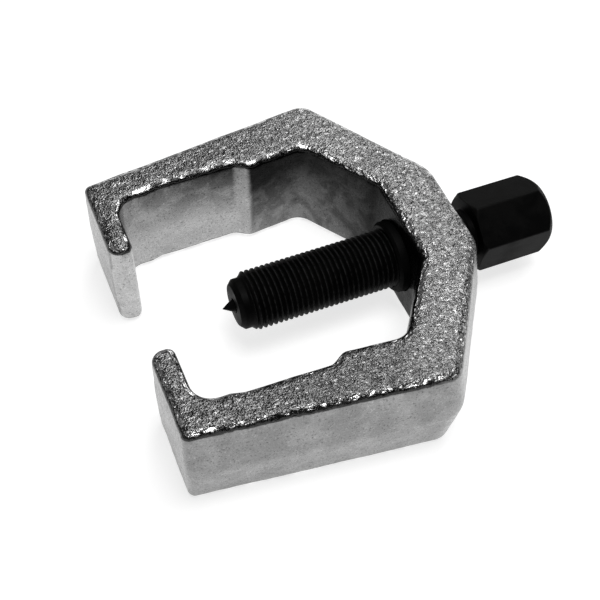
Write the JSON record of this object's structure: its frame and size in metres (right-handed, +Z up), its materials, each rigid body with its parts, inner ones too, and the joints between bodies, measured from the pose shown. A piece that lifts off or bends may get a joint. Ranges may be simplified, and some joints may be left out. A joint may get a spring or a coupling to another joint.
{
  "type": "ball joint separator",
  "caption": "C-shaped forged yoke with inward hooks; a hex-headed forcing screw through its back presses a centre point on a ball stud held in the mouth between the hooks.",
  "frame": {"origin": "under the middle of the whole tool's box, on the flat face that it rests on", "axes": "+X along the forcing screw, from the mouth between the hooks towards the hexagon head; +Y across the arms; +Z up, out of the face it rests on"},
  "size_m": [0.115, 0.0994, 0.0295],
  "materials": {
    "plated_forging": "zinc-plated drop forging: coarse blasted grain on the upper and lower faces, satin draft walls",
    "black_screw": "black oxide, satin, lightly oiled",
    "black_bush": "black oxide, satin",
    "hardened_point": "black oxide over hardened and ground steel",
    "spring_steel": "oiled spring steel"
  },
  "bodies": {
    "root": {"yoke": "plated_forging", "thread_bush": "black_bush"},
    "point": {"centre_point": "hardened_point", "point_ring": "spring_steel"},
    "screw": {"forcing_screw": "black_screw"}
  },
  "joints": [
    {"name": "screw_travel", "type": "slide", "parent": "root", "child": "point", "axis": [1, 0, 0], "range_m": [-0.0035, 0.0395]},
    {"name": "screw_turn", "type": "hinge", "parent": "point", "child": "screw", "pos_m": [0, 0, 0.01475], "axis": [1, 0, 0], "range_deg": [-900, 10080]}
  ],
  "couplings": [
    {"joint": "screw_turn", "follows": "screw_travel", "rad_per_m": 4452.7}
  ]
}
